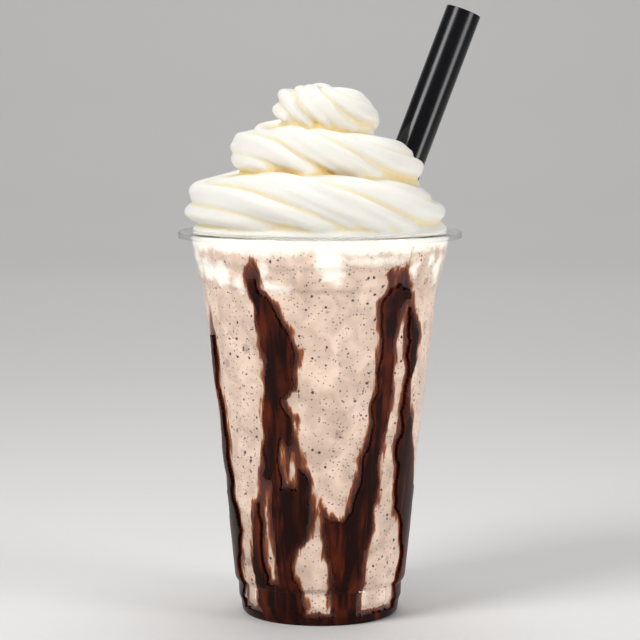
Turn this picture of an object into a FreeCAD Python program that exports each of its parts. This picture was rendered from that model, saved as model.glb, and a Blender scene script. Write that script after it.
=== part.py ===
"""Cookies and cream milkshake in a clear takeaway cup, with piped cream and a straw.

Millimetres, +Z up. The origin is the centre of the standing ring, on the table plane;
the front of the cup faces -Y. Azimuths run from the front, positive to the right (+X).
"""
import FreeCAD, Part
import Sketcher
import math
import os

doc = FreeCAD.newDocument("milkshake")

# ---------------------------------------------------------------- driving dimensions
SIZES = {
    # cup, overall
    "cup_height": 129.0,
    "rim_radius": 47.5,
    "foot_radius": 26.05,
    "wall": 0.5,
    # cup, rolled rim
    "lip_overhang": 4.2,
    "lip_depth": 2.1,
    "lip_round": 1.0,
    # cup, neck, band and their two steps, from the rim down
    "neck_height": 9.3,
    "neck_taper": 1.3,
    "band_height": 5.8,
    "band_taper": 1.0,
    "step_height": 1.3,
    "step_depth": 0.75,
    # cup, base from the table up
    "foot_height": 4.9,
    "foot_round": 2.5,
    "foot_step_height": 1.5,
    "foot_step_depth": 0.65,
    "rib_band_height": 4.7,
    "rib_band_taper": 0.2,
    "base_step_height": 1.7,
    "base_step_depth": 1.2,
    "stand_ring_width": 5.6,
    "push_up_height": 3.0,
    "push_up_slope": 2.0,
    "rib_count": 18,
    "rib_angle": 10.0,
    "rib_depth": 0.3,
    "rib_end_gap": 0.4,
    # drink and sauce
    "fill_clearance": 0.15,
    "drink_below_rim": 3.0,
    "pool_height": 4.5,
    "streak_thickness": 1.4,
    # straw
    "straw_diameter": 12.0,
    "straw_wall": 0.35,
    "straw_length": 195.0,
    "straw_foot_height": 20.3,
    "straw_foot_gap": 2.0,
    "straw_lean_right": 20.8,
    "straw_lean_back": 4.3,
    # cream: one ridged rope piped round in rings that climb and close in
    "cream_rim_gap": 0.1,
    "cream_bite": 1.0,
    "cream_inset": 0.7,
    "cream_height": 51.0,
    "cream_turns": 3.0,
    "cream_tail": 0.45,
    "climb_start": 0.6,
    "climb_bunching": 0.7,
    "tier_rise": 17.0,
    "tier_shrink": 13.8,
    "rope_half_width": 13.3,
    "rope_half_height": 10.3,
    "rope_level": 7.8,
    "rope_thinning": 1.4,
    "start_inset": 4.5,
    "start_sink": 2.5,
    "start_end": 0.5,
    "ridge_count": 12,
    "ridge_depth": 0.9,
    "ridge_twist": 1.1,
    "drip_thickness": 2.5,
    "drip_root": 1.0,
}

# Sauce streaks on the wall: azimuth in degrees, width, depth of the top below the rim,
# and sideways shift at the foot and at the tip.
STREAKS = [
    (-72, 9, 28, 8, 0),
    (-27, 16, 11, -3, -4),
    (17, 15, 91, 0, -2),
    (41, 17, 11, -8, 2),
    (66, 10, 43, -3, 3),
    (112, 12, 21, 3, -3),
    (150, 15, 65, -3, 2),
    (-166, 16, 13, 4, -2),
    (-118, 12, 37, -3, 3),
]

# Cream pressed down the inside of the wall: azimuth in degrees, width, and lowest height
# below the rim.
DRIPS = [
    (-58, 11, 11.2),
    (-43, 8, 12.6),
    (-24, 8, 12.3),
    (5, 8, 12.0),
    (51, 6, 6.6),
    (72, 10, 9.3),
    (104, 9, 11.0),
    (139, 8, 8.5),
    (176, 11, 12.0),
    (-148, 8, 9.0),
    (-108, 9, 11.5),
]

sheet = doc.addObject("Spreadsheet::Sheet", "Sizes")
for row, (alias, value) in enumerate(SIZES.items(), start=1):
    sheet.set(f"A{row}", alias)
    sheet.set(f"B{row}", str(value))
    sheet.setAlias(f"B{row}", alias)
doc.recompute()


def size(alias):
    """A driving dimension, read back from the sheet."""
    return float(sheet.get(alias))


def total(formula):
    """The value of a sum of aliases, such as 'cup_height - lip_depth'."""
    value = 0.0
    sign = 1
    for word in formula.split():
        if word in ("+", "-"):
            sign = 1 if word == "+" else -1
        else:
            value += sign * size(word)
    return value


def expression(formula):
    """The same sum as an expression that FreeCAD evaluates."""
    return " ".join(word if word in ("+", "-") else f"Sizes.{word}" for word in formula.split())


# ---------------------------------------------------------------- sketches and bodies
ORIGIN = (-1, 1)
HORIZONTAL_AXIS = -1
VERTICAL_AXIS = -2


def origin_plane(body, role):
    return next(plane for plane in body.Origin.OriginFeatures if plane.Role == role)


def new_sketch(body, name, role):
    sketch = body.newObject("Sketcher::SketchObject", name)
    sketch.AttachmentSupport = [(origin_plane(body, role), "")]
    sketch.MapMode = "FlatFace"
    return sketch


def place_corner(sketch, line, radius, height):
    """Ties the start of a line to its radius and height; None lies on that axis."""
    for kind, axis, formula in (("DistanceX", VERTICAL_AXIS, radius),
                                ("DistanceY", HORIZONTAL_AXIS, height)):
        if formula is None:
            sketch.addConstraint(Sketcher.Constraint("PointOnObject", line, 1, axis))
            continue
        distance = Sketcher.Constraint(kind, *ORIGIN, line, 1, total(formula))
        index = sketch.addConstraint(distance)
        sketch.setExpression(f"Constraints[{index}]", expression(formula))


def draw_outline(sketch, corners):
    """Draws a closed outline of straight lines through corners of radius and height."""
    points = [FreeCAD.Vector(total(radius or ""), total(height or ""), 0)
              for radius, height in corners]
    for index, point in enumerate(points):
        following = points[(index + 1) % len(points)]
        sketch.addGeometry(Part.LineSegment(point, following), False)
    for index, (radius, height) in enumerate(corners):
        previous = (index - 1) % len(corners)
        sketch.addConstraint(Sketcher.Constraint("Coincident", previous, 2, index, 1))
        place_corner(sketch, index, radius, height)


def revolve_outline(body, name, corners):
    """Revolves an outline drawn on the XZ plane about the vertical axis."""
    sketch = new_sketch(body, f"{name}_profile", "XZ_Plane")
    draw_outline(sketch, corners)
    revolution = body.newObject("PartDesign::Revolution", name)
    revolution.Profile = sketch
    revolution.ReferenceAxis = (sketch, ["V_Axis"])
    revolution.Angle = 360
    doc.recompute()
    return revolution


def circular_edges(shape, radius, height):
    """Names of the circular edges of this radius at this height."""
    names = []
    for index, edge in enumerate(shape.Edges, start=1):
        if not isinstance(edge.Curve, Part.Circle):
            continue
        if abs(edge.Curve.Radius - radius) < 1e-3 and abs(edge.Curve.Center.z - height) < 1e-3:
            names.append(f"Edge{index}")
    return names


def round_edge(body, name, base, edge_at, radius_formula):
    """Fillets the circular edge at a radius and height given as sums of aliases."""
    fillet = body.newObject("PartDesign::Fillet", name)
    radius, height = edge_at
    fillet.Base = (base, circular_edges(base.Shape, total(radius), total(height)))
    fillet.setExpression("Radius", expression(radius_formula))
    doc.recompute()
    return fillet


# ---------------------------------------------------------------- cup
NECK_TOP = "rim_radius - lip_overhang"
NECK_FOOT = NECK_TOP + " - neck_taper"
BAND_TOP = NECK_FOOT + " - step_depth"
BAND_FOOT = BAND_TOP + " - band_taper"
TAPER_TOP = BAND_FOOT + " - step_depth"
RIB_FOOT = "foot_radius + foot_step_depth"
RIB_TOP = RIB_FOOT + " + rib_band_taper"
TAPER_FOOT = RIB_TOP + " + base_step_depth"

NECK_FOOT_LEVEL = "cup_height - neck_height"
BAND_TOP_LEVEL = NECK_FOOT_LEVEL + " - step_height"
BAND_FOOT_LEVEL = BAND_TOP_LEVEL + " - band_height"
TAPER_TOP_LEVEL = BAND_FOOT_LEVEL + " - step_height"
RIB_FOOT_LEVEL = "foot_height + foot_step_height"
RIB_TOP_LEVEL = RIB_FOOT_LEVEL + " + rib_band_height"
TAPER_FOOT_LEVEL = RIB_TOP_LEVEL + " + base_step_height"

STAND_INNER = "foot_radius - stand_ring_width"
PUSH_UP_EDGE = STAND_INNER + " - push_up_slope"

# The side of the cup from the foot up to the neck, as radius and level.
SIDE = [
    ("foot_radius", "foot_height"),
    (RIB_FOOT, RIB_FOOT_LEVEL),
    (RIB_TOP, RIB_TOP_LEVEL),
    (TAPER_FOOT, TAPER_FOOT_LEVEL),
    (TAPER_TOP, TAPER_TOP_LEVEL),
    (BAND_FOOT, BAND_FOOT_LEVEL),
    (BAND_TOP, BAND_TOP_LEVEL),
    (NECK_FOOT, NECK_FOOT_LEVEL),
]


def inner_side(inset):
    """The inside of the cup from the axis along the floor and up to the neck."""
    floor = [
        (None, "push_up_height + " + inset),
        (PUSH_UP_EDGE + " + wall", "push_up_height + " + inset),
        (STAND_INNER + " + wall", inset),
        ("foot_radius - " + inset.replace("+", "-"), inset),
    ]
    side = [(radius + " - " + inset.replace("+", "-"), level) for radius, level in SIDE]
    return floor + side


def make_cup():
    """Thin thermoformed wall with a rolled rim, stacking steps, ribs and a pushed-up floor."""
    body = doc.addObject("PartDesign::Body", "cup")
    inside = inner_side("wall")
    outside = [
        (PUSH_UP_EDGE, "push_up_height"),
        (STAND_INNER, None),
        ("foot_radius", None),
        *SIDE,
        (NECK_TOP, "cup_height - wall"),
        ("rim_radius - wall", "cup_height - wall"),
        ("rim_radius - wall", "cup_height - lip_depth"),
        ("rim_radius", "cup_height - lip_depth"),
        ("rim_radius", "cup_height"),
        (NECK_TOP + " - wall", "cup_height"),
    ]
    corners = [(None, "push_up_height"), *outside, *reversed(inside)]
    feature = revolve_outline(body, "cup_wall", corners)
    foot_inside = ("foot_radius - wall", "wall")
    feature = round_edge(body, "foot_inner_round", feature, foot_inside, "foot_round - wall")
    feature = round_edge(body, "foot_outer_round", feature, ("foot_radius", ""), "foot_round")
    rim_edge = ("rim_radius", "cup_height")
    feature = round_edge(body, "rim_outer_round", feature, rim_edge, "lip_round")
    rim_inside = (NECK_TOP + " - wall", "cup_height")
    feature = round_edge(body, "rim_inner_round", feature, rim_inside, "lip_round")
    add_ribs(body)
    return body


def add_ribs(body):
    """Low upright ribs round the base, where a denester holds the cup."""
    sketch = new_sketch(body, "rib_profile", "XZ_Plane")
    foot_level = RIB_FOOT_LEVEL + " + rib_end_gap"
    top_level = RIB_TOP_LEVEL + " - rib_end_gap"
    draw_outline(sketch, [
        (RIB_FOOT + " - rib_depth", foot_level),
        (RIB_FOOT + " + rib_depth", foot_level),
        (RIB_TOP + " + rib_depth", top_level),
        (RIB_TOP + " - rib_depth", top_level),
    ])
    rib = body.newObject("PartDesign::Revolution", "rib")
    rib.Profile = sketch
    rib.ReferenceAxis = (sketch, ["V_Axis"])
    rib.Midplane = True
    rib.setExpression("Angle", "Sizes.rib_angle")
    doc.recompute()
    ribs = body.newObject("PartDesign::PolarPattern", "ribs")
    ribs.Originals = [rib]
    ribs.Axis = (sketch, ["V_Axis"])
    ribs.Angle = 360
    ribs.setExpression("Occurrences", "Sizes.rib_count")
    body.Tip = ribs
    doc.recompute()


# ---------------------------------------------------------------- what fills the cup
def make_filling(name, inset):
    """The space inside the cup, drawn in from its wall by the inset, up into the cream."""
    body = doc.addObject("PartDesign::Body", name)
    top_level = "cup_height + cream_bite"
    top = [(NECK_TOP + " - " + inset.replace("+", "-"), top_level), (None, top_level)]
    revolve_outline(body, f"{name}_solid", [*inner_side(inset), *top])
    return body


def below(name, shape_object, level_formula):
    """The part of an object that lies under a level."""
    slab = doc.addObject("Part::Cylinder", f"{name}_slab")
    slab.setExpression("Radius", "Sizes.rim_radius")
    slab.setExpression("Height", expression(level_formula))
    common = doc.addObject("Part::Common", name)
    common.Base = shape_object
    common.Tool = slab
    return common


def cut(name, base, tool):
    result = doc.addObject("Part::Cut", name)
    result.Base = base
    result.Tool = tool
    return result


TONGUE_STATIONS = 6
TONGUE_SWELL = 0.15
TONGUE_WAVES = 1.4


def tongue_edges(width, start, end, start_shift, end_shift):
    """Points up one edge of a tongue, round its tip and down the other edge.

    The tongue narrows in waves from its start to its tip, as sauce does when it runs.
    """
    left = []
    right = []
    for station in range(TONGUE_STATIONS):
        share = station / TONGUE_STATIONS
        height = start + share * (end - start)
        centre = start_shift + share * (end_shift - start_shift)
        swell = 1 + TONGUE_SWELL * math.cos(TONGUE_WAVES * 2 * math.pi * share)
        half_width = width / 2 * math.sqrt(1 - share ** 2) * swell
        left.append(FreeCAD.Vector(centre - half_width, 0, height))
        right.append(FreeCAD.Vector(centre + half_width, 0, height))
    return left + [FreeCAD.Vector(end_shift, 0, end)] + right[::-1]


def tongue_prism(points, azimuth):
    """The smooth outline through the points, pushed out from the axis to an azimuth."""
    curve = Part.BSplineCurve()
    curve.interpolate(points)
    root = Part.LineSegment(points[-1], points[0])
    face = Part.Face(Part.Wire([curve.toShape(), root.toShape()]))
    prism = face.extrude(FreeCAD.Vector(0, -2 * size("rim_radius"), 0))
    prism.rotate(FreeCAD.Vector(0, 0, 0), FreeCAD.Vector(0, 0, 1), azimuth)
    return prism


def on_the_wall(name, filling, thickness, prisms):
    """What lies against the wall, this thick, inside the outlines of the prisms."""
    core = make_filling(f"{name}_core", f"wall + fill_clearance + {thickness}")
    lining = cut(f"{name}_lining", filling, core)
    outlines = doc.addObject("Part::Feature", f"{name}_outlines")
    outlines.Shape = prisms[0].multiFuse(prisms[1:])
    layer = doc.addObject("Part::Common", name)
    layer.Base = lining
    layer.Tool = outlines
    return layer


def make_sauce(filling):
    """A pool on the floor and the streaks that run down into it, as one solid."""
    prisms = []
    for azimuth, width, depth, foot_shift, tip_shift in STREAKS:
        top = size("cup_height") - depth
        edges = tongue_edges(width, size("wall"), top, foot_shift, tip_shift)
        prisms.append(tongue_prism(edges, azimuth))
    sauce = doc.addObject("Part::Fuse", "chocolate_sauce")
    sauce.Base = below("sauce_pool", filling, "pool_height")
    sauce.Tool = on_the_wall("streaks", filling, "streak_thickness", prisms)
    return sauce


def make_drips(filling):
    """Cream pressed down between the drink and the wall in short tongues."""
    root = total("cup_height - drink_below_rim + drip_root")
    prisms = []
    for azimuth, width, depth in DRIPS:
        edges = tongue_edges(width, root, size("cup_height") - depth, 0, 0)
        prisms.append(tongue_prism(edges, azimuth))
    return on_the_wall("drips", filling, "drip_thickness", prisms)


# ---------------------------------------------------------------- straw
def filling_radius(height):
    """Radius of the inside of the cup at a height on its straight taper."""
    share = (height - total(TAPER_FOOT_LEVEL)) / (total(TAPER_TOP_LEVEL) - total(TAPER_FOOT_LEVEL))
    return total(TAPER_FOOT) + share * (total(TAPER_TOP) - total(TAPER_FOOT)) - size("wall")


def straw_placement():
    """The straw stands on its low edge near the left wall and leans right and back."""
    direction = FreeCAD.Vector(math.tan(math.radians(size("straw_lean_right"))),
                               math.tan(math.radians(size("straw_lean_back"))), 1).normalize()
    foot_height = size("straw_foot_height")
    reach = size("straw_diameter") / 2 + size("straw_foot_gap")
    foot = FreeCAD.Vector(reach - filling_radius(foot_height), 0, foot_height)
    return FreeCAD.Placement(foot, FreeCAD.Rotation(FreeCAD.Vector(0, 0, 1), direction))


def make_straw(name, bore):
    """The straw as a pad of its ring, or of its full round where no bore is wanted."""
    body = doc.addObject("PartDesign::Body", name)
    sketch = new_sketch(body, f"{name}_section", "XY_Plane")
    circles = ["Sizes.straw_diameter"]
    if bore:
        circles.append("Sizes.straw_diameter - 2 * Sizes.straw_wall")
    for index, diameter in enumerate(circles):
        start_radius = size("straw_diameter") / 2 - index * size("straw_wall")
        circle = Part.Circle(FreeCAD.Vector(0, 0, 0), FreeCAD.Vector(0, 0, 1), start_radius)
        sketch.addGeometry(circle, False)
        sketch.addConstraint(Sketcher.Constraint("Coincident", index, 3, *ORIGIN))
        constraint = sketch.addConstraint(Sketcher.Constraint("Diameter", index, 2 * start_radius))
        sketch.setExpression(f"Constraints[{constraint}]", diameter)
    pad = body.newObject("PartDesign::Pad", f"{name}_pad")
    pad.Profile = sketch
    pad.setExpression("Length", "Sizes.straw_length")
    body.Placement = straw_placement()
    doc.recompute()
    return body


# ---------------------------------------------------------------- piped cream
ROUND_STEPS = 52
UPRIGHT_STEPS = 34
TOP_ELEVATION = math.radians(88.5)
SWELL_PASSES = 4
START_AZIMUTH = 0.5 * math.pi
FULL_TURN = 2 * math.pi
HALVES = ((0.0, 1), (0.5, -1))


def rope_section(turn):
    """Centre radius, height over the rim and half sizes of the rope after some turns.

    The rope lies nearly level round the front and climbs mostly round the back. Its start
    lies a little lower and further in, until it reaches the rim at the front.
    """
    climb = turn + size("climb_bunching") * math.sin(FULL_TURN * turn) / FULL_TURN
    tiers_up = max(climb - size("climb_start"), 0.0)
    half_width = size("rope_half_width") - size("rope_thinning") * tiers_up
    half_height = size("rope_half_height")
    outermost = total("rim_radius - cream_inset - rope_half_width")
    start = min(max(2 * (1 - turn / size("start_end")), 0.0), 1.0)
    start = start ** 2 * (3 - 2 * start)
    radius = max(outermost - start * size("start_inset") - size("tier_shrink") * tiers_up, 0.0)
    height = min(size("rope_level") - start * size("start_sink") + size("tier_rise") * tiers_up,
                 size("cream_height") - half_height)
    return radius, height, half_width, half_height


def ray_to_rope(elevation, centre, height, half_width, half_height, turn):
    """How far out a ray from the cream's foot leaves one ridged section of the rope.

    The section is an ellipse whose size swells at each ridge, so the crossing with the
    plain ellipse is refined until the swell at the crossing agrees with it.
    """
    ray_across, ray_up = math.cos(elevation) / half_width, math.sin(elevation) / half_height
    centre_across, centre_up = centre / half_width, height / half_height
    square = ray_across ** 2 + ray_up ** 2
    along = ray_across * centre_across + ray_up * centre_up
    apart = centre_across ** 2 + centre_up ** 2
    swell = 1.0
    reach = 0.0
    for _ in range(SWELL_PASSES):
        discriminant = along ** 2 - square * (apart - swell ** 2)
        if discriminant < 0:
            return 0.0
        reach = (along + math.sqrt(discriminant)) / square
        angle = math.atan2(reach * ray_up - centre_up, reach * ray_across - centre_across)
        phase = size("ridge_count") * (angle - size("ridge_twist") * FULL_TURN * turn)
        swell = 1.0 + size("ridge_depth") / half_height * math.cos(phase)
    return reach


def cream_reach(azimuth, elevation):
    """Distance from the middle of the cream's foot to its surface in one direction.

    The upright plane through this azimuth cuts the rope once on each turn, and again on
    the far side of the axis half a turn later.
    """
    first_turn = (START_AZIMUTH - azimuth) / FULL_TURN % 1.0
    reach = 0.0
    for tier in range(-1, math.ceil(size("cream_turns"))):
        for half_turn, side in HALVES:
            turn = first_turn + tier + half_turn
            if not -size("cream_tail") <= turn <= size("cream_turns"):
                continue
            centre, height, half_width, half_height = rope_section(turn)
            reach = max(reach, ray_to_rope(elevation, side * centre, height,
                                           half_width, half_height, side * turn))
    return reach


def mound_poles():
    """Control points of the cream's skin: a row of them up each azimuth."""
    foot_level = total("cup_height + cream_rim_gap")
    rows = []
    for round_step in range(ROUND_STEPS):
        azimuth = FULL_TURN * round_step / ROUND_STEPS
        row = []
        for upright_step in range(UPRIGHT_STEPS):
            elevation = TOP_ELEVATION * upright_step / (UPRIGHT_STEPS - 1)
            reach = cream_reach(azimuth, elevation)
            outwards = reach * math.cos(elevation)
            row.append(FreeCAD.Vector(outwards * math.cos(azimuth), outwards * math.sin(azimuth),
                                      foot_level + reach * math.sin(elevation)))
        rows.append(row)
    return rows


def make_mound():
    """The piped mound over the rim: one smooth closed-round skin with a flat foot."""
    rows = mound_poles()
    top_level = sum(row[-1].z for row in rows) / ROUND_STEPS
    for row in rows:
        row[-1].z = top_level
        row[-2].z = top_level
    degree = 3
    skin = Part.BSplineSurface()
    upright_knots = UPRIGHT_STEPS - degree + 1
    ends = [degree + 1]
    skin.buildFromPolesMultsKnots(rows, [1] * (ROUND_STEPS + 1),
                                  ends + [1] * (upright_knots - 2) + ends,
                                  list(range(ROUND_STEPS + 1)), list(range(upright_knots)),
                                  True, False, degree, degree)
    side = skin.toShape()
    caps = [Part.Face(Part.Wire([edge])) for edge in side.Edges if edge.isClosed()]
    shell = Part.Shell([side, *caps])
    shell.sewShape()
    mound = doc.addObject("Part::Feature", "cream_mound")
    mound.Shape = Part.Solid(shell)
    return mound


def make_cream(filling, drink_block, straw_round):
    """The mound, joined to the cream inside the rim and parted where the straw stands."""
    whole = doc.addObject("Part::Fuse", "whole_cream")
    whole.Base = make_mound()
    whole.Tool = cut("cream_in_cup", filling, drink_block)
    return cut("whipped_cream", whole, straw_round)


# ---------------------------------------------------------------- assembly
cup = make_cup()
straw = make_straw("straw", bore=True)
straw_round = make_straw("straw_round", bore=False)
filling = make_filling("filling", "wall + fill_clearance")
sauce = make_sauce(filling)
drink_space = below("drink_space", filling, "cup_height - drink_below_rim")
drink_block = cut("drink_block", drink_space, make_drips(filling))
drink_round_straw = cut("drink_round_straw", drink_block, straw)
milkshake = cut("milkshake", drink_round_straw, sauce)
cream = make_cream(filling, drink_block, straw_round)
doc.recompute()

for item in doc.Objects:
    if "Invalid" in item.State or "Error" in item.State:
        raise RuntimeError(f"{item.Name} did not compute: {item.State}")

os.makedirs("parts", exist_ok=True)
for item in (cup, straw, milkshake, sauce, cream):
    shape = item.Shape
    if shape.isNull() or not shape.isValid() or len(shape.Solids) != 1:
        raise RuntimeError(f"{item.Label} is not one valid solid")
    print(item.Label, "volume", round(shape.Volume))
for item in (cup, straw, milkshake, sauce, cream):
    item.Shape.exportStep(f"parts/{item.Label}.step")
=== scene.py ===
"""Cookies and cream milkshake in a clear takeaway cup, with piped cream and a straw."""
import math
import random

import bpy
import numpy as np
from mathutils import Matrix, Vector, noise


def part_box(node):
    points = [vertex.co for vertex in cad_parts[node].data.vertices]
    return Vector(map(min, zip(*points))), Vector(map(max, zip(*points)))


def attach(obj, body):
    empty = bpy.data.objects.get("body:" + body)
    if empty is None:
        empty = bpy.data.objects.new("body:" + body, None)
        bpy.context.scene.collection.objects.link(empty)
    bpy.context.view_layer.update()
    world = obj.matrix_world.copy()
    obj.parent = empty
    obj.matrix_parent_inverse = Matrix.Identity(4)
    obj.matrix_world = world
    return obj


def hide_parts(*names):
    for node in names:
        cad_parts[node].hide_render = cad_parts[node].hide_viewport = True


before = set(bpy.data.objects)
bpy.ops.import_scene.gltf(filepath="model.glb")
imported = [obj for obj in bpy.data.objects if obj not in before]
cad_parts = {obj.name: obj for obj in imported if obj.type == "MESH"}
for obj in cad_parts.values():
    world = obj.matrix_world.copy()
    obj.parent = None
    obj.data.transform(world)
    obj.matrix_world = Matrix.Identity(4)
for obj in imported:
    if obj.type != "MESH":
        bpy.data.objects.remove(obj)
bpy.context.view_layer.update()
MM = 0.001
FULL_TURN = 2 * math.pi

# ------------------------------------------------------------------ clear cup
# A thin cup formed from a sheet of clear PET: rolled rim, neck, a stacking band, a
# straight taper, two steps at the foot with upright ribs between, and a pushed-up floor.
CUP_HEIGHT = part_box("cup")[1][2] / MM
RIM_RADIUS = 47.5
WALL = 0.5
CUP_SIDE = [(26.05, 4.9), (26.7, 6.4), (26.9, 11.1), (28.1, 12.8), (39.5, 111.3),
            (40.25, 112.6), (41.25, 118.4), (42.0, 119.7)]
NECK_RADIUS = 43.3


def deselect_all():
    if bpy.context.object and bpy.context.object.mode != "OBJECT":
        bpy.ops.object.mode_set(mode="OBJECT")
    bpy.ops.object.select_all(action="DESELECT")


def rounded(corners, segments=5):
    """An outline in radius and height whose corners are arcs of their own radius."""
    points = []
    for index, corner in enumerate(corners):
        here = Vector(corner[:2])
        if len(corner) < 3:
            points.append(here)
            continue
        before = (Vector(corners[index - 1][:2]) - here).normalized()
        after = (Vector(corners[(index + 1) % len(corners)][:2]) - here).normalized()
        start, end = here + before * corner[2], here + after * corner[2]
        for step in range(segments + 1):
            share = step / segments
            points.append(start.lerp(here, share).lerp(here.lerp(end, share), share))
    return points


def spun(name, outline, steps, closed=False):
    """Spins an outline in millimetres round the upright axis into a mesh in metres."""
    deselect_all()
    path = bpy.data.curves.new(name, "CURVE")
    path.dimensions = "3D"
    spline = path.splines.new("POLY")
    spline.points.add(len(outline) - 1)
    for point, (radius, height) in zip(spline.points, outline):
        point.co = (radius * MM, 0, height * MM, 1)
    spline.use_cyclic_u = closed
    piece = bpy.data.objects.new(name, path)
    bpy.context.collection.objects.link(piece)
    bpy.context.view_layer.objects.active = piece
    piece.select_set(True)
    bpy.ops.object.convert(target="MESH")
    bpy.ops.object.mode_set(mode="EDIT")
    bpy.ops.mesh.select_all(action="SELECT")
    bpy.ops.mesh.spin(steps=steps, angle=FULL_TURN, center=(0, 0, 0), axis=(0, 0, 1))
    bpy.ops.mesh.select_all(action="SELECT")
    bpy.ops.mesh.remove_doubles(threshold=0.000002)
    bpy.ops.mesh.normals_make_consistent(inside=False)
    bpy.ops.object.mode_set(mode="OBJECT")
    bpy.ops.object.shade_smooth()
    return piece


def dress(piece, material, replaces=None):
    """Gives a piece its material and its body, and hides the part of the node that it stands for.
    """
    piece.data.materials.clear()
    piece.data.materials.append(material)
    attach(piece, "root")
    if replaces:
        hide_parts(replaces)


def new_material(name):
    material = bpy.data.materials.new(name)
    material.use_nodes = True
    nodes = material.node_tree.nodes
    return material, nodes, material.node_tree.links, nodes["Principled BSDF"]


inside = [(radius - WALL, height) for radius, height in CUP_SIDE]
cup_outline = rounded([
    (0, 3.0), (18.4, 3.0, 0.8), (20.4, 0, 0.8), (26.05, 0, 2.4),
    *[corner + (0.5,) for corner in CUP_SIDE],
    (NECK_RADIUS, CUP_HEIGHT - WALL, 0.5), (RIM_RADIUS - WALL, CUP_HEIGHT - WALL, 0.5),
    (RIM_RADIUS - WALL, CUP_HEIGHT - 2.1, 0.12), (RIM_RADIUS, CUP_HEIGHT - 2.1, 0.2),
    (RIM_RADIUS, CUP_HEIGHT, 0.9), (NECK_RADIUS - WALL, CUP_HEIGHT, 0.9),
    *[corner + (0.5,) for corner in reversed(inside)],
    (25.55, 0.5, 1.9), (20.9, 0.5, 0.8), (18.9, 3.5, 0.8), (0, 3.5),
])
cup = spun("clear_cup", cup_outline, 288)

# The ribs stand out between the two steps; steep sides leave flats on and between them.
RIB_COUNT = 18
RIB_DEPTH = 0.3
RIB_BOTTOM = 6.5
RIB_TOP = 11.0
RIB_STEEPNESS = 4
for vertex in cup.data.vertices:
    if not RIB_BOTTOM < vertex.co.z / MM < RIB_TOP:
        continue
    azimuth = math.atan2(vertex.co.y, vertex.co.x)
    wave = math.cos(RIB_COUNT * azimuth) * RIB_STEEPNESS
    lift = RIB_DEPTH * max(0.0, min(1.0, 0.5 + wave))
    vertex.co.xy *= 1 + lift * MM / math.hypot(vertex.co.x, vertex.co.y)

# Light passes straight through the thin wall, so the drink behind it is lit as in the open.
pet, nodes, links, shader = new_material("clear_pet")
shader.inputs["Base Color"].default_value = (0.985, 0.99, 0.99, 1)
shader.inputs["Roughness"].default_value = 0.03
shader.inputs["IOR"].default_value = 1.36
shader.inputs["Transmission Weight"].default_value = 1
see_through = nodes.new("ShaderNodeBsdfTransparent")
see_through.inputs["Color"].default_value = (0.97, 0.97, 0.97, 1)
rays = nodes.new("ShaderNodeLightPath")
let_light_in = nodes.new("ShaderNodeMixShader")
links.new(rays.outputs["Is Shadow Ray"], let_light_in.inputs["Fac"])
links.new(shader.outputs["BSDF"], let_light_in.inputs[1])
links.new(see_through.outputs["BSDF"], let_light_in.inputs[2])
links.new(let_light_in.outputs["Shader"], nodes["Material Output"].inputs["Surface"])
dress(cup, pet, "cup")

# ------------------------------------------------------------------ the drink
# Blended ice cream, milk and crushed cocoa cookies, poured in to just under the rim. It
# is opaque and presses against the wall, so its skin reaches a little into the plastic.
DRINK_LEVEL = 126.6
SKIN_BITE = 0.10
ROUND_STEPS = 512
SIDE_STEPS = 178
POOL_LEVEL = 4.6


def inner_radius(height):
    """Radius of the inside of the cup at a height."""
    corners = [(25.0, 1.5), *inside, (NECK_RADIUS - WALL, CUP_HEIGHT)]
    for (low_radius, low), (high_radius, high) in zip(corners, corners[1:]):
        if height <= high:
            share = max(0.0, (height - low) / (high - low))
            return low_radius + share * (high_radius - low_radius)
    return corners[-1][0]


def skin_outline(bottom, top, steps, bite):
    """The inside of the cup between two heights, moved a little into the wall."""
    heights = [bottom + (top - bottom) * step / steps for step in range(steps + 1)]
    return [(inner_radius(height) + bite, height) for height in heights]


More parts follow.
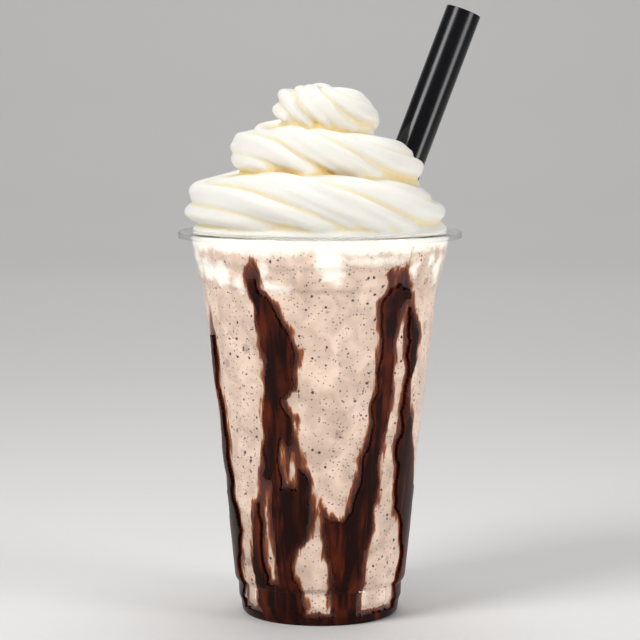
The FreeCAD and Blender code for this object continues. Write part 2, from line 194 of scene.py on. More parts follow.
# Streaks of sauce as they lie on the wall: height, then the azimuths of the left and
# right edges in degrees, from the front (0) to the right (90) and round to the left.
STREAKS = [
    [(103, -73, -69), (94, -78, -66), (87, -77, -65), (79, -76, -66), (70, -75, -62),
     (62, -77, -62), (50, -79, -63), (40, -80, -62), (30, -83, -54), (24, -85, -62),
     (13, -88, -64), (1, -90, -68)],
    [(121, -33, -29), (117, -39, -28), (112, -38, -27), (106, -35, -19), (98, -33, -12),
     (88, -32, -9), (80, -32, -11), (76, -34, -18), (70, -34, -12), (60, -36, -11),
     (54, -37, -9), (50, -38, -3), (44, -42, -2), (36, -49, -2), (30, -52, -5),
     (26, -52, -13), (20, -53, -15), (14, -51, -11), (9, -52, -8), (1, -52, -8)],
    [(44, -2, 0), (40, -2, 4), (38, -2, 7), (36, -1, 11), (34, -1, 38), (31, 0, 36), (24, 2, 34),
     (19, 3, 33), (12, 4, 32), (1, 5, 32)],
    [(120, 38, 43), (117, 29, 45), (111, 31, 51), (108, 27, 52), (102, 29, 56),
     (96, 28, 60), (88, 27, 61), (81, 29, 58), (76, 26, 57), (69, 25, 63), (62, 26, 66),
     (57, 21, 70), (50, 20, 75), (44, 17, 77), (36, 13, 81)],
    [(47, 18, 40), (41, 16, 40), (36, 11, 38), (33, 8, 37)],
    [(50, 47, 78), (42, 50, 80), (37, 52, 82), (28, 60, 84), (22, 64, 86), (14, 62, 88),
     (1, 62, 90)],
    [(112, 108, 112), (108, 104, 116), (98, 102, 120), (84, 105, 121), (66, 106, 119),
     (50, 103, 122), (34, 100, 127), (18, 98, 128), (1, 98, 130)],
    [(64, 148, 151), (58, 144, 156), (44, 143, 160), (28, 140, 161), (1, 138, 163)],
    [(118, 190, 194), (112, 186, 200), (96, 188, 205), (78, 191, 203), (60, 187, 206),
     (40, 184, 210), (22, 182, 212), (1, 180, 214)],
    [(92, 241, 245), (84, 237, 250), (66, 238, 252), (48, 236, 254), (28, 233, 257),
     (1, 231, 259)],
]
# Gaps where the drink shows through a streak, in the same form.
GAPS = [
    [(98, 44, 45), (94, 42, 47), (85, 43, 47), (72, 43, 48), (65, 42, 47), (57, 38, 45),
     (50, 39, 46), (44, 40, 48), (33, 38, 52)],
    [(41, -34.5, -33.8), (36, -35, -33.4), (28, -36, -34), (21, -35, -33), (17, -33, -32)],
    [(54, -19.5, -17.5), (52, -20, -17), (50, -19, -17.5)],
]


# A streak gets thicker by this much for each millimetre down from its top.
TOP_THINNING = 0.3


def noise_at(places, scale, shift=0.0):
    """Smooth noise from -1 to 1 at each place, for features of about 1 / scale."""
    offset = Vector((shift, 0, 0))
    return np.array([noise.noise(Vector(place) * scale + offset) for place in places])


def wall_places(azimuths, heights, stretch=1.0):
    """Spots on a round of radius 1 that stand for spots on the wall, for noise."""
    turns = np.radians(azimuths)
    return np.stack([np.cos(turns), np.sin(turns), heights / (34 * stretch)], axis=1)


def depth_inside(outline, azimuths, heights, per_degree):
    """How far spots lie inside a streak, in millimetres; negative outside it."""
    levels, lefts, rights = np.array(outline[::-1]).T
    middle = (lefts.mean() + rights.mean()) / 2
    azimuths = (azimuths - middle + 180) % 360 - 180 + middle
    left = np.interp(heights, levels, lefts)
    right = np.interp(heights, levels, rights)
    sideways = np.minimum(azimuths - left, right - azimuths) * per_degree
    upward = TOP_THINNING * (levels[-1] + 1 - heights)
    return np.minimum(sideways, np.minimum(upward, heights - levels[0] + 1))


def sauce_depths(azimuths, heights):
    """Depth of spots on the wall inside the nearest streak, with ragged edges."""
    places = wall_places(azimuths, heights)
    runs = wall_places(azimuths, heights, 3.0)
    per_degree = np.radians(1) * np.interp(heights, [0, 129], [26, 42])
    swayed = azimuths + 1.5 * noise_at(places, 5, 7) / per_degree
    depths = np.full(len(azimuths), -9.0)
    for outline in STREAKS:
        depths = np.maximum(depths, depth_inside(outline, swayed, heights, per_degree))
    for outline in GAPS:
        depths = np.minimum(depths, -depth_inside(outline, swayed, heights, per_degree))
    depths = np.maximum(depths, (POOL_LEVEL - heights) * 2)
    return depths + 0.9 * noise_at(runs, 12) + 0.5 * noise_at(runs, 30)


# Cream smeared on the wall: azimuth in degrees, height, half width and half height in mm.
CREAM_LEVEL = 123.6
SMEARS = [
    (-63, 117.5, 4.5, 4.0), (-52, 116.5, 4.2, 4.4), (-41, 113.6, 2.6, 2.6),
    (-22, 113.2, 3.6, 2.0), (-27, 118.5, 3.0, 1.6), (-17, 112.6, 2.2, 1.2),
    (8, 115.0, 1.4, 1.8), (48, 118.6, 1.9, 2.6), (70, 117.2, 3.4, 4.2),
    (60, 120.5, 2.2, 1.8), (26, 121.5, 9.0, 1.3), (4, 121.5, 4.6, 4.0),
    (5.5, 117.6, 3.3, 3.4), (-75, 119.0, 4.0, 4.5), (84, 119.5, 3.0, 4.0),
    (104, 117, 4.0, 3.6), (139, 119, 3.4, 3.0), (160, 114, 2.4, 2.0),
    (176, 117, 4.2, 4.4), (204, 118, 3.6, 3.2), (230, 115.5, 2.6, 3.0),
    (252, 118, 4.0, 3.8), (272, 120, 3.0, 3.0),
]
WALL_MM_PER_DEGREE = 0.7


def cream_depths(azimuths, heights):
    """How far spots on the wall lie inside the cream, in millimetres."""
    places = wall_places(azimuths, heights)
    depths = heights - CREAM_LEVEL - 1.6 * noise_at(places, 3.5, 3)
    for centre, level, half_width, half_height in SMEARS:
        across = ((azimuths - centre + 180) % 360 - 180) * WALL_MM_PER_DEGREE / half_width
        upward = (heights - level) / half_height
        inward = 1 - np.hypot(across, upward)
        depths = np.maximum(depths, inward * min(half_width, half_height))
    return depths + 0.8 * noise_at(places, 10) + 0.5 * noise_at(places, 24)


def wall_spots(piece):
    """Azimuth in degrees from the front and height in millimetres of each vertex."""
    places = np.empty(len(piece.data.vertices) * 3)
    piece.data.vertices.foreach_get("co", places)
    x, y, z = places.reshape(-1, 3).T
    return np.degrees(np.arctan2(x, -y)), z / MM


def store(piece, name, values):
    """Keeps a value for each vertex, for the piece's material to read."""
    attribute = piece.data.attributes.new(name, "FLOAT", "POINT")
    attribute.data.foreach_set("value", values)


drink_outline = [(0, 3.7), (18.9, 3.7), (20.7, 0.7), (24.5, 0.7)]
drink_outline += skin_outline(1.5, DRINK_LEVEL, SIDE_STEPS, SKIN_BITE)
drink_outline += [(30, DRINK_LEVEL), (0, DRINK_LEVEL)]
drink = spun("drink", drink_outline, ROUND_STEPS)
store(drink, "sauce", sauce_depths(*wall_spots(drink)))
store(drink, "cream", cream_depths(*wall_spots(drink)))

SHAKE_PALE = (0.80, 0.635, 0.52, 1)
SHAKE_DEEP = (0.56, 0.42, 0.335, 1)
SMEAR_WHITE = (0.93, 0.89, 0.80, 1)
CRUMB_SOAKED = (0.20, 0.14, 0.12, 1)
CRUMB_DUST = (0.10, 0.065, 0.055, 1)
CRUMB_DARK = (0.045, 0.03, 0.026, 1)
SAUCE_STAIN = (0.50, 0.25, 0.12, 1)
SAUCE_AMBER = (0.30, 0.085, 0.02, 1)
SAUCE_RED = (0.110, 0.017, 0.005, 1)
SAUCE_DARK = (0.014, 0.003, 0.002, 1)


def colour_ramp(nodes, stops):
    """A ramp through colours at their positions."""
    ramp = nodes.new("ShaderNodeValToRGB")
    while len(ramp.color_ramp.elements) < len(stops):
        ramp.color_ramp.elements.new(0.5)
    for element, (position, colour) in zip(ramp.color_ramp.elements, stops):
        element.position = position
        element.color = colour
    return ramp


def mixed(nodes, links, factor, first, second):
    """A colour mix whose inputs are sockets or plain colours."""
    mix = nodes.new("ShaderNodeMix")
    mix.data_type = "RGBA"
    for place, value in ((0, factor), (6, first), (7, second)):
        socket = mix.inputs[place]
        if isinstance(value, bpy.types.NodeSocket):
            links.new(value, socket)
        else:
            socket.default_value = value
    return mix.outputs[2]


def noise_texture(nodes, links, coordinates, scale, detail=2.0, distortion=0.0):
    """A noise value of 0 to 1 with features of about 1 / scale metres."""
    texture = nodes.new("ShaderNodeTexNoise")
    texture.inputs["Scale"].default_value = scale
    texture.inputs["Detail"].default_value = detail
    texture.inputs["Distortion"].default_value = distortion
    links.new(coordinates, texture.inputs["Vector"])
    return texture.outputs["Fac"]


def mapped(nodes, links, value, low, high, to_low=0.0, to_high=1.0):
    """Stretches a value from one range to another and clamps it."""
    spread = nodes.new("ShaderNodeMapRange")
    links.new(value, spread.inputs["Value"])
    for name, number in (("From Min", low), ("From Max", high),
                         ("To Min", to_low), ("To Max", to_high)):
        spread.inputs[name].default_value = number
    return spread.outputs["Result"]


def combined(nodes, links, operation, first, second):
    """One sum of two sockets or plain numbers."""
    node = nodes.new("ShaderNodeMath")
    node.operation = operation
    for socket, value in zip(node.inputs, (first, second)):
        if isinstance(value, bpy.types.NodeSocket):
            links.new(value, socket)
        else:
            socket.default_value = value
    return node.outputs[0]


def specks(nodes, links, coordinates, scale, size, share):
    """A mask of scattered specks: cells of a size, of which only a share are filled."""
    cells = nodes.new("ShaderNodeTexVoronoi")
    cells.inputs["Scale"].default_value = scale
    links.new(coordinates, cells.inputs["Vector"])
    near = mapped(nodes, links, cells.outputs["Distance"], size, size * 0.6)
    picked = nodes.new("ShaderNodeSeparateColor")
    links.new(cells.outputs["Color"], picked.inputs["Color"])
    chosen = mapped(nodes, links, picked.outputs["Red"], share, share - 0.02)
    return combined(nodes, links, "MULTIPLY", near, chosen)


# How the syrup colours what it lies on: thin and amber at its ragged edge, near black where
# it is thick, with redder runs along it.
syrup_run = bpy.data.node_groups.new("syrup_run", "ShaderNodeTree")
for name, kind, way in (("Place", "Vector", "INPUT"), ("Fray", "Float", "INPUT"),
                        ("Amount", "Float", "OUTPUT"), ("Colour", "Color", "OUTPUT")):
    syrup_run.interface.new_socket(name, in_out=way, socket_type="NodeSocket" + kind)
nodes, links = syrup_run.nodes, syrup_run.links
given = nodes.new("NodeGroupInput")
result = nodes.new("NodeGroupOutput")
stored = nodes.new("ShaderNodeAttribute")
stored.attribute_name = "sauce"
lengthwise = nodes.new("ShaderNodeMapping")
lengthwise.inputs["Scale"].default_value = (1, 1, 0.16)
links.new(given.outputs["Place"], lengthwise.inputs["Vector"])
along = lengthwise.outputs["Vector"]
fine = noise_texture(nodes, links, along, 1100, 3, 0.4)
broad = noise_texture(nodes, links, along, 260, 4, 0.8)
ragged = combined(nodes, links, "ADD", mapped(nodes, links, fine, 0.3, 0.7, -0.5, 0.5),
                  mapped(nodes, links, broad, 0.3, 0.7, -1.3, 0.9))
ragged = combined(nodes, links, "MULTIPLY", ragged, given.outputs["Fray"])
depth = combined(nodes, links, "ADD", stored.outputs["Fac"], ragged)
amount = mapped(nodes, links, depth, -1.0, 4.0)
sauce_ramp = colour_ramp(nodes, [(0.13, SAUCE_STAIN), (0.24, SAUCE_AMBER), (0.42, SAUCE_RED),
                                 (0.76, SAUCE_DARK)])
links.new(amount, sauce_ramp.inputs["Fac"])
drawn_out = nodes.new("ShaderNodeMapping")
drawn_out.inputs["Scale"].default_value = (1, 1, 0.055)
links.new(given.outputs["Place"], drawn_out.inputs["Vector"])
runs = noise_texture(nodes, links, drawn_out.outputs["Vector"], 330, 3, 0.5)
patches = noise_texture(nodes, links, given.outputs["Place"], 70, 2, 0.3)
redness = combined(nodes, links, "MULTIPLY", mapped(nodes, links, runs, 0.46, 0.64),
                   mapped(nodes, links, patches, 0.36, 0.58, 0.25, 1.0))
redness = combined(nodes, links, "MULTIPLY", redness, mapped(nodes, links, amount, 0.45, 0.65))
links.new(mixed(nodes, links, redness, sauce_ramp.outputs["Color"], SAUCE_RED),
          result.inputs["Colour"])
links.new(amount, result.inputs["Amount"])


def laid_syrup(nodes, links, place, fray):
    """Places the syrup's effect in a material and gives its amount and its colour."""
    syrup = nodes.new("ShaderNodeGroup")
    syrup.node_tree = syrup_run
    links.new(place, syrup.inputs["Place"])
    syrup.inputs["Fray"].default_value = fray
    return syrup.outputs["Amount"], syrup.outputs["Colour"]


shake, nodes, links, shader = new_material("cookie_shake")
place = nodes.new("ShaderNodeTexCoord").outputs["Object"]
mottle = mapped(nodes, links, noise_texture(nodes, links, place, 130, 4, 0.6), 0.35, 0.65)
body_colour = mixed(nodes, links, mottle, SHAKE_DEEP, SHAKE_PALE)
warp = nodes.new("ShaderNodeTexNoise")
warp.inputs["Scale"].default_value = 600
links.new(place, warp.inputs["Vector"])
jittered = nodes.new("ShaderNodeVectorMath")
jittered.operation = "MULTIPLY_ADD"
links.new(warp.outputs["Color"], jittered.inputs[0])
jittered.inputs[1].default_value = (0.0012, 0.0012, 0.0012)
links.new(place, jittered.inputs[2])
scattered = jittered.outputs["Vector"]
dust = specks(nodes, links, scattered, 900, 0.31, 0.50)
grains = specks(nodes, links, scattered, 450, 0.27, 0.30)
soaked = specks(nodes, links, scattered, 170, 0.34, 0.10)
body_colour = mixed(nodes, links, combined(nodes, links, "MULTIPLY", soaked, 0.45),
                    body_colour, CRUMB_SOAKED)
body_colour = mixed(nodes, links, combined(nodes, links, "MULTIPLY", dust, 0.75),
                    body_colour, CRUMB_DUST)
body_colour = mixed(nodes, links, grains, body_colour, CRUMB_DARK)
smeared = nodes.new("ShaderNodeAttribute")
smeared.attribute_name = "cream"
cloudy = noise_texture(nodes, links, place, 420, 4, 0.5)
cloudy = mapped(nodes, links, cloudy, 0.3, 0.7, -0.7, 0.7)
cover = combined(nodes, links, "ADD", smeared.outputs["Fac"], cloudy)
cover = mapped(nodes, links, cover, -0.9, 1.1)
body_colour = mixed(nodes, links, cover, body_colour, SMEAR_WHITE)
sauce_amount, sauce_colour = laid_syrup(nodes, links, place, 1.0)
stain = mapped(nodes, links, sauce_amount, 0.10, 0.24)
links.new(mixed(nodes, links, stain, body_colour, sauce_colour), shader.inputs["Base Color"])
links.new(mapped(nodes, links, sauce_amount, 0.2, 0.5, 0.55, 0.3), shader.inputs["Roughness"])
shader.inputs["Specular IOR Level"].default_value = 0.08
dress(drink, shake, "milkshake")

# ------------------------------------------------------------------ chocolate sauce
# Dark chocolate syrup poured round the inside of the cup before the drink: it has run
# down the wall in streaks and lies in a pool in the floor's channel.
SAUCE_BITE = 0.12
SAUCE_THICKNESS = 1.2
SAUCE_CORE = 2.3
SAUCE_TOP = 119.5
SAUCE_STEPS = 170
MARGIN_SINK = 0.06
MARGIN_REACH = 1.4


def keep_layer(piece, depths, core, thickness):
    """Keeps what lies deeper than the core depth and thickens it inwards.

    Its margin is sunk under the drink's skin, so that no step shows there.
    """
    for vertex, depth in zip(piece.data.vertices, depths):
        sunk = MARGIN_SINK * MM * max(0.0, min(1.0, core + MARGIN_REACH - depth))
        vertex.co.xy *= 1 - sunk / math.hypot(vertex.co.x, vertex.co.y)
    wanted = depths > core
    deselect_all()
    bpy.context.view_layer.objects.active = piece
    piece.select_set(True)
    bpy.context.tool_settings.mesh_select_mode = (False, False, True)
    corners = np.empty(len(piece.data.loops), dtype=np.int64)
    piece.data.loops.foreach_get("vertex_index", corners)
    starts = np.empty(len(piece.data.polygons), dtype=np.int64)
    piece.data.polygons.foreach_get("loop_start", starts)
    dropped = ~np.minimum.reduceat(wanted[corners], starts)
    piece.data.vertices.foreach_set("select", np.zeros(len(piece.data.vertices), dtype=bool))
    piece.data.edges.foreach_set("select", np.zeros(len(piece.data.edges), dtype=bool))
    piece.data.polygons.foreach_set("select", dropped)
    bpy.ops.object.mode_set(mode="EDIT")
    bpy.ops.mesh.delete(type="FACE")
    bpy.ops.object.mode_set(mode="OBJECT")
    thick = piece.modifiers.new("thickness", "SOLIDIFY")
    thick.thickness = thickness * MM
    thick.offset = -1
    bpy.ops.object.modifier_apply(modifier="thickness")
    bpy.ops.object.shade_smooth_by_angle(angle=math.radians(35))


sauce_outline = [(20.2, 2.0), (21.0, 0.75), (24.5, 0.75)]
sauce_outline += skin_outline(1.5, SAUCE_TOP, SAUCE_STEPS, SAUCE_BITE)
sauce = spun("chocolate_sauce_run", sauce_outline, ROUND_STEPS)
depths = sauce_depths(*wall_spots(sauce))
store(sauce, "sauce", depths)
keep_layer(sauce, depths, SAUCE_CORE, SAUCE_THICKNESS)

syrup, nodes, links, shader = new_material("chocolate_syrup")
place = nodes.new("ShaderNodeTexCoord").outputs["Object"]
links.new(laid_syrup(nodes, links, place, 1.0)[1], shader.inputs["Base Color"])
shader.inputs["Roughness"].default_value = 0.3
shader.inputs["Specular IOR Level"].default_value = 0.08
dress(sauce, syrup, "chocolate_sauce")

# ------------------------------------------------------------------ piped cream
# Whipped cream piped through a star nozzle: one ridged rope wound round in rings that
# climb and close in, soft enough for the rings to settle into each other.
ROPE_HALF_WIDTH = 13.3
ROPE_HALF_HEIGHT = 10.3
RIM_LEVEL = CUP_HEIGHT + 0.1
SQUASH = ROPE_HALF_HEIGHT / ROPE_HALF_WIDTH
# The nozzle leaves creases of uneven spacing and depth along the rope.
CREASE_STEPS = [1.25, 0.75, 1.2, 0.6, 1.35, 1.0, 0.7, 1.3, 0.8, 1.15, 0.65, 1.25]
CREASE_DEPTHS = [0.29, 0.09, 0.21, 0.08, 0.30, 0.14, 0.08, 0.26, 0.08, 0.22, 0.10, 0.17]
CREASE_REACH = 0.40
FRONT_LIFT = 2.2
RING_RISE = 17.0
RING_SHRINK = 13.8
RING_THINNING = 1.4
START_INSET = 4.5
START_SINK = 2.5
SWIRL_HEIGHT = 51.0
SECTION_STEPS = 144
STATIONS = 420
FIRST_TURN = -0.45
LAST_TURN = 3.0
ENDING_TURNS = 0.4


def rope_station(turn):
    """Centre radius, height over the rim and half width of the rope after some turns."""
    climb = turn + 0.7 * math.sin(FULL_TURN * turn) / FULL_TURN
    tiers_up = max(climb - 0.6, 0.0)
    start = min(max(2 - 4 * turn, 0.0), 1.0)
    start = start ** 2 * (3 - 2 * start)
    half_width = ROPE_HALF_WIDTH - RING_THINNING * tiers_up
    outermost = RIM_RADIUS - 0.7 - ROPE_HALF_WIDTH
    radius = max(outermost - START_INSET * start - RING_SHRINK * tiers_up, 0.0)
    height = min(7.8 - START_SINK * start + RING_RISE * tiers_up, SWIRL_HEIGHT - ROPE_HALF_HEIGHT)
    return radius, height, half_width


bpy.ops.curve.primitive_bezier_circle_add(radius=1)
section = bpy.context.object
section.data.resolution_u = SECTION_STEPS // 4
path = bpy.data.curves.new("rope_path", "CURVE")
path.dimensions = "3D"
path.twist_mode = "Z_UP"
path.bevel_mode = "OBJECT"
path.bevel_object = section
spline = path.splines.new("POLY")
spline.points.add(STATIONS - 1)
turns = np.linspace(FIRST_TURN, LAST_TURN, STATIONS)
for turn, point in zip(turns, spline.points):
    radius, height, half_width = rope_station(turn)
    azimuth = math.pi / 2 - FULL_TURN * turn
    wobble = Vector((turn * 2.3, 0.5, 0))
    radius += 0.7 * noise.noise(wobble * 3)
    height += 0.5 * noise.noise(wobble * 3 + Vector((5, 0, 0)))
    height += FRONT_LIFT * max(0.0, math.cos(FULL_TURN * (turn - 0.56))) ** 2 * (turn < 2.2)
    half_width *= 1 + 0.04 * noise.noise(wobble * 4 + Vector((9, 0, 0)))
    ending = max(0.0, (turn - LAST_TURN + ENDING_TURNS) / ENDING_TURNS)
    half_width *= 1 - 0.5 * ending ** 2
    height += 0.35 * ROPE_HALF_HEIGHT * ending ** 2
    point.co = (radius * MM * math.cos(azimuth), radius * MM * math.sin(azimuth),
                (height / SQUASH) * MM, 1)
    point.radius = half_width * MM
    point.tilt = FULL_TURN * turn + 0.55 * math.sin(2 * FULL_TURN * (turn - 0.5))
rope = bpy.data.objects.new("whipped_cream_swirl", path)
bpy.context.collection.objects.link(rope)
deselect_all()
bpy.context.view_layer.objects.active = rope
rope.select_set(True)
bpy.ops.object.convert(target="MESH")
bpy.data.objects.remove(section)

rings = np.empty(len(rope.data.vertices) * 3)
rope.data.vertices.foreach_get("co", rings)
rings = rings.reshape(STATIONS, -1, 3)
centres = rings.mean(axis=1, keepdims=True)
around = np.linspace(0, FULL_TURN, rings.shape[1], endpoint=False)
swell = np.ones(rings.shape[:2])
crease_angles = np.cumsum(CREASE_STEPS) / sum(CREASE_STEPS) * FULL_TURN
for index, (angle, depth) in enumerate(zip(crease_angles, CREASE_DEPTHS)):
    for station, turn in enumerate(turns):
        drift = 0.26 * noise.noise(Vector((turn * 3.1, index * 3.7, 0)))
        fade = 1 + 0.85 * noise.noise(Vector((turn * 4.3, index * 5.1, 7)))
        away = (around - angle - drift + math.pi) % FULL_TURN - math.pi
        reach = np.clip(1 - np.abs(away) / CREASE_REACH, 0, 1)
        swell[station] -= depth * max(fade, 0.15) * reach ** 1.6
rings = centres + (rings - centres) * swell[:, :, None]
rings[:, :, 2] = rings[:, :, 2] * SQUASH + RIM_LEVEL * MM
rope.data.vertices.foreach_set("co", rings.ravel())
bpy.ops.object.mode_set(mode="EDIT")
bpy.ops.mesh.select_all(action="SELECT")
bpy.ops.mesh.fill_holes(sides=0)
bpy.ops.object.mode_set(mode="OBJECT")

# The rings are soft: they close over a core and settle into each other. Cream swells up
# where the straw goes in, and the rope's end closes the top.
bpy.ops.mesh.primitive_cone_add(vertices=96, radius1=43 * MM, radius2=8 * MM, depth=42 * MM,
                                location=(0, 0, (RIM_LEVEL + 21) * MM))
core = bpy.context.object
bpy.ops.mesh.primitive_uv_sphere_add(segments=48, ring_count=24, radius=8.5 * MM,
                                     location=(25.5 * MM, 9 * MM, (RIM_LEVEL + 12.5) * MM))
bulge = bpy.context.object
bpy.ops.mesh.primitive_uv_sphere_add(segments=48, ring_count=24, radius=7.0 * MM,
                                     location=(0, 1.5 * MM, (RIM_LEVEL + 42.0) * MM))
core.select_set(True)
bulge.select_set(True)
rope.select_set(True)
bpy.context.view_layer.objects.active = rope
bpy.ops.object.join()
melt = rope.modifiers.new("melt", "REMESH")
melt.mode = "VOXEL"
melt.voxel_size = 0.6 * MM
bpy.ops.object.modifier_apply(modifier="melt")
soften = rope.modifiers.new("soften", "SMOOTH")
soften.factor = 0.5
soften.iterations = 2
bpy.ops.object.modifier_apply(modifier="soften")
for vertex in rope.data.vertices:
    vertex.co.z = max(vertex.co.z, RIM_LEVEL * MM)
bpy.ops.object.shade_smooth()


def fold_depths(mesh, rounds):
    """How deep each vertex lies in a fold, in millimetres, against a smoothed copy."""
    count = len(mesh.vertices)
    places = np.empty(count * 3)
    mesh.vertices.foreach_get("co", places)
    places = places.reshape(-1, 3)
    normals = np.empty(count * 3)
    mesh.vertices.foreach_get("normal", normals)
    ends = np.empty(len(mesh.edges) * 2, dtype=np.int64)
    mesh.edges.foreach_get("vertices", ends)
    first, second = ends.reshape(-1, 2).T
    neighbours = np.bincount(first, minlength=count) + np.bincount(second, minlength=count)
    smooth = places.copy()
    for _ in range(rounds):
        gathered = np.stack([np.bincount(first, smooth[second, axis], count)
                             + np.bincount(second, smooth[first, axis], count)
                             for axis in range(3)], axis=1)
        smooth = 0.5 * smooth + 0.5 * gathered / neighbours[:, None]
    return ((smooth - places) * normals.reshape(-1, 3)).sum(axis=1) / MM


# Fold depths against a lightly and a heavily smoothed copy; they set the painted shade in the
# cream's folds.
store(rope, "fold", fold_depths(rope.data, 60))
store(rope, "deep_fold", fold_depths(rope.data, 400))

# The cream's own warm white, then two yellows that are painted shade: a warm one in shallow folds
# and a deeper one in deep folds, where less light reaches.
CREAM_WHITE = (0.93, 0.90, 0.83, 1)
CREAM_SHALLOW_FOLD_SHADE = (0.92, 0.81, 0.56, 1)
CREAM_DEEP_FOLD_SHADE = (0.92, 0.67, 0.24, 1)

cream, nodes, links, shader = new_material("whipped_cream")
place = nodes.new("ShaderNodeTexCoord").outputs["Object"]
shallow = nodes.new("ShaderNodeAttribute")
shallow.attribute_name = "fold"
deep = nodes.new("ShaderNodeAttribute")
deep.attribute_name = "deep_fold"
# Painted shade: the cream turns warm yellow in its shallow folds and deep yellow in its deep
# folds.
shallow_fold_shade_colour = mixed(nodes, links, mapped(nodes, links, shallow.outputs["Fac"], 0.03, 0.45),
               CREAM_WHITE, CREAM_SHALLOW_FOLD_SHADE)
fold_shaded_colour = mixed(nodes, links, mapped(nodes, links, deep.outputs["Fac"], 0.7, 2.4),
               shallow_fold_shade_colour, CREAM_DEEP_FOLD_SHADE)
links.new(fold_shaded_colour, shader.inputs["Base Color"])
shader.inputs["Roughness"].default_value = 0.42
shader.inputs["Subsurface Weight"].default_value = 0.25
shader.inputs["Subsurface Radius"].default_value = (1.0, 0.7, 0.4)
shader.inputs["Subsurface Scale"].default_value = 0.0015
shader.inputs["Specular IOR Level"].default_value = 0.4
grain = noise_texture(nodes, links, place, 900, 3)
bump = nodes.new("ShaderNodeBump")
bump.inputs["Strength"].default_value = 0.12
bump.inputs["Distance"].default_value = 0.0003
links.new(grain, bump.inputs["Height"])
links.new(bump.outputs["Normal"], shader.inputs["Normal"])
dress(rope, cream, "whipped_cream")

# The cream's root fills the neck above the drink and is pressed down the wall in places.
CREAM_BITE = 0.13
CREAM_CORE = 1.4
root_outline = skin_outline(112, CUP_HEIGHT - 1.0, 40, CREAM_BITE) + [(40.5, CUP_HEIGHT + 1.0)]
root = spun("whipped_cream_root", root_outline, ROUND_STEPS)
depths = cream_depths(*wall_spots(root))
store(root, "fold", np.zeros(len(depths)))
store(root, "deep_fold", np.zeros(len(depths)))
keep_layer(root, depths, CREAM_CORE, 2.0)
dress(root, cream)

# ------------------------------------------------------------------ cookie crumbs
# Crushed cocoa cookie: small hard flakes in the drink, seen where they lie against the
# wall, and one on the cream.
CRUMB_COUNT = 760
CRUMB_SIZES = (0.17, 0.22, 0.28, 0.36, 0.52)
CREAM_CRUMB = 0.55
COOKIE_DARK = (0.03, 0.018, 0.014, 1)
COOKIE_LIGHT = (0.11, 0.075, 0.062, 1)

rng = random.Random(11)
azimuths = np.array([rng.uniform(-180, 180) for _ in range(4 * CRUMB_COUNT)])
heights = np.array([rng.uniform(3, 125) for _ in range(4 * CRUMB_COUNT)])
free = (sauce_depths(azimuths, heights) < -0.6) & (cream_depths(azimuths, heights) < -0.5)
spots = list(zip(azimuths[free], heights[free]))[:CRUMB_COUNT]

# One lies on the lowest ring of the cream, the others in the drink against the wall.
bpy.context.view_layer.update()
_, landing, away, _ = rope.ray_cast(Vector((27, -200, 134.5)) * MM, Vector((0, 1, 0)))
places = [(landing, away)]
for azimuth, height in spots:
    angle = math.radians(azimuth)
    outward = Vector((math.sin(angle), -math.cos(angle), 0))
    reach = inner_radius(height) + SKIN_BITE + 0.12
    places.append((outward * reach * MM + Vector((0, 0, height * MM)), outward))

deselect_all()
bpy.ops.mesh.primitive_ico_sphere_add(subdivisions=1, radius=MM)
lump = bpy.context.object
lump.name = "cookie_crumbs"
lumps = [lump]
for _ in places[1:]:
    copy = lump.copy()
    copy.data = lump.data.copy()
    bpy.context.collection.objects.link(copy)
    lumps.append(copy)
for lump, (location, outward) in zip(lumps, places):
    size = rng.choice(CRUMB_SIZES) * rng.uniform(0.8, 1.15)
    if lump is lumps[0]:
        size = CREAM_CRUMB
    for vertex in lump.data.vertices:
        vertex.co *= size * rng.uniform(0.6, 1.15)
    location = location - outward * size * 0.3 * MM
    turn = Matrix.Rotation(rng.uniform(0, FULL_TURN), 4, "Z")
    flat = Matrix.Diagonal((1, rng.uniform(0.45, 1), 0.3, 1))
    stand = outward.to_track_quat("Z", "Y").to_matrix().to_4x4()
    lump.data.transform(Matrix.Translation(location) @ stand @ turn @ flat)
    lump.select_set(True)
bpy.context.view_layer.objects.active = lumps[0]
bpy.ops.object.join()
crumbs = lumps[0]

cookie, nodes, links, shader = new_material("cocoa_cookie")
place = nodes.new("ShaderNodeTexCoord").outputs["Object"]
tone = mapped(nodes, links, noise_texture(nodes, links, place, 300, 2), 0.35, 0.65)
links.new(mixed(nodes, links, tone, COOKIE_DARK, COOKIE_LIGHT), shader.inputs["Base Color"])
shader.inputs["Roughness"].default_value = 0.7
dress(crumbs, cookie)

# ------------------------------------------------------------------ straw
# A wide black milkshake straw, cut square at both ends, standing on its low edge in the
# drink and leaning right and back through the cream.
STRAW_RADIUS = 6.0
STRAW_WALL = 0.35
STRAW_LENGTH = 195.0
STRAW_LEAN_RIGHT = 20.8
STRAW_LEAN_BACK = 4.3
STRAW_FOOT = Vector((-20.6, 0, 20.3))

straw_outline = rounded([
    (STRAW_RADIUS - STRAW_WALL, 0, 0.1), (STRAW_RADIUS, 0, 0.1),
    (STRAW_RADIUS, STRAW_LENGTH, 0.1), (STRAW_RADIUS - STRAW_WALL, STRAW_LENGTH, 0.1),
], segments=3)
straw = spun("milkshake_straw", straw_outline, 96, closed=True)
direction = Vector((math.tan(math.radians(STRAW_LEAN_RIGHT)),
                    math.tan(math.radians(STRAW_LEAN_BACK)), 1)).normalized()
lean = direction.to_track_quat("Z", "Y").to_matrix().to_4x4()
straw.data.transform(Matrix.Translation(STRAW_FOOT * MM) @ lean)

black, nodes, links, shader = new_material("black_straw_plastic")
place = nodes.new("ShaderNodeTexCoord").outputs["Object"]
cloud = mapped(nodes, links, noise_texture(nodes, links, place, 60, 2), 0.3, 0.7, 0.17, 0.25)
links.new(cloud, shader.inputs["Roughness"])
shader.inputs["Base Color"].default_value = (0.006, 0.006, 0.007, 1)
shader.inputs["Specular IOR Level"].default_value = 0.3
shader.inputs["Coat Weight"].default_value = 0.05
dress(straw, black, "straw")

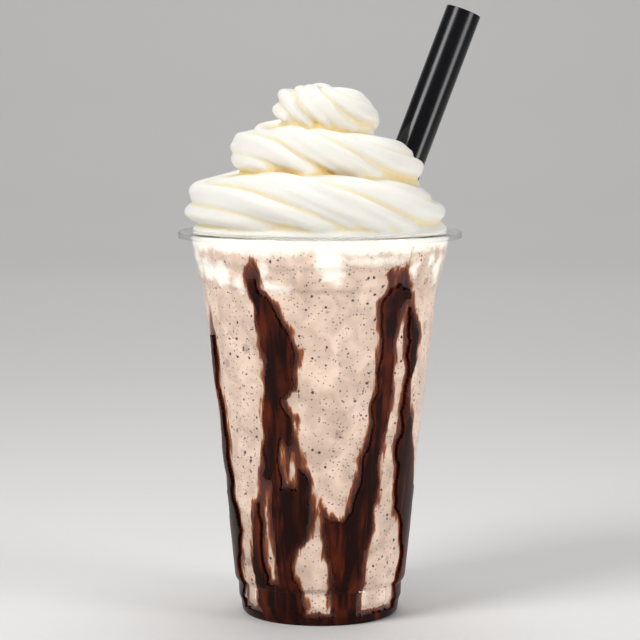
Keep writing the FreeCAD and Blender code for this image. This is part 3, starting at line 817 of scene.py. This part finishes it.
# ------------------------------------------------------------------ table, light, camera
# A pale table that curves up behind the cup into a pale backdrop, soft lights from the
# left, the right and above, and the camera a little above the rim.
BACK_EDGE = 1.5
CURVE_UP = ((0.04, 0.24), (0.12, 0.22), (0.2, 0.18), (0.26, 0.1), (2.6, 0))
CAMERA_DOWN = 5.69

deselect_all()
bpy.ops.mesh.primitive_plane_add(size=1, location=(0, 0, 0))
floor = bpy.context.object
floor.name = "table"
bpy.context.tool_settings.mesh_select_mode = (True, False, False)
bpy.ops.object.mode_set(mode="EDIT")
bpy.ops.mesh.select_all(action="SELECT")
bpy.ops.transform.resize(value=(6, 3.2, 1))
bpy.ops.mesh.select_all(action="DESELECT")
bpy.ops.object.mode_set(mode="OBJECT")
for vertex in floor.data.vertices:
    vertex.select = vertex.co.y > BACK_EDGE
bpy.ops.object.mode_set(mode="EDIT")
for lift, back in CURVE_UP:
    bpy.ops.mesh.extrude_region_move(TRANSFORM_OT_translate={"value": (0, back, lift)})
bpy.ops.object.mode_set(mode="OBJECT")
bpy.ops.object.shade_smooth()
paint, nodes, links, shader = new_material("pale_table")
shader.inputs["Base Color"].default_value = (0.80, 0.79, 0.78, 1)
shader.inputs["Roughness"].default_value = 0.7
shader.inputs["Specular IOR Level"].default_value = 0.2
floor.data.materials.append(paint)


def soft_light(name, location, aim, width, height, energy):
    """A rectangular softbox that faces a spot."""
    bpy.ops.object.light_add(type="AREA", location=location)
    light = bpy.context.object
    light.name = name
    light.data.shape = "RECTANGLE"
    light.data.size = width
    light.data.size_y = height
    light.data.energy = energy
    light.rotation_euler = (Vector(aim) - Vector(location)).to_track_quat("-Z", "Y").to_euler()


soft_light("key_left", (-0.5, -0.45, 0.62), (0, 0, 0.14), 0.3, 0.4, 4.3)
soft_light("fill_left", (-0.62, -0.42, 0.16), (0, 0, 0.09), 0.2, 0.4, 0.6)
soft_light("fill_right", (0.62, -0.36, 0.2), (0, 0, 0.1), 0.25, 0.45, 2.7)
soft_light("top", (0.05, 0.1, 0.75), (0, 0, 0.15), 0.4, 0.4, 1.7)
soft_light("backdrop", (0, 0.9, 1.6), (0, 1.9, 0.3), 2.5, 0.6, 16)

world = bpy.data.worlds.new("studio")
world.use_nodes = True
world.node_tree.nodes["Background"].inputs["Color"].default_value = (0.95, 0.97, 1, 1)
world.node_tree.nodes["Background"].inputs["Strength"].default_value = 0.10
bpy.context.scene.world = world

bpy.ops.object.camera_add(location=(0, -0.785, 0.177),
                          rotation=(math.radians(90 - CAMERA_DOWN), 0, 0))
camera = bpy.context.object
camera.data.lens = 132.1
camera.data.sensor_width = 36
bpy.context.scene.camera = camera
bpy.context.scene.view_settings.view_transform = "Standard"
